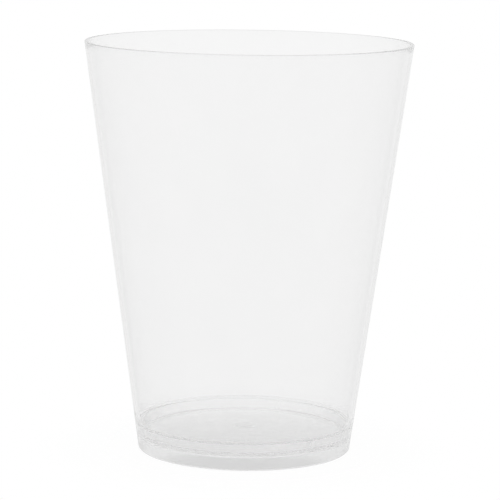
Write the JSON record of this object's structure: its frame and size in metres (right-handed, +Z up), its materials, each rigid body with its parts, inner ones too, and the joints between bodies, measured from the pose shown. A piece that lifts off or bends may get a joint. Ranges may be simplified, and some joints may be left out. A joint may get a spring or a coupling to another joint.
{
  "type": "plastic tumbler cup",
  "caption": "Clear moulded plastic tumbler: straight tapered wall, plain rounded rim, crowned floor held up inside a foot ring, and a ribbed inner shoulder on which stacked cups sit.",
  "frame": {"origin": "centre of the foot ring, on the surface that the cup stands on", "axes": "+Z up along the cup's axis to its mouth; +X to the right of the picture's view, +Y away from it"},
  "size_m": [0.0939, 0.0938, 0.118],
  "materials": {
    "clear_plastic": "clear, very slightly milky, smooth as moulded"
  },
  "bodies": {
    "root": {"tumbler": "clear_plastic"}
  },
  "joints": []
}
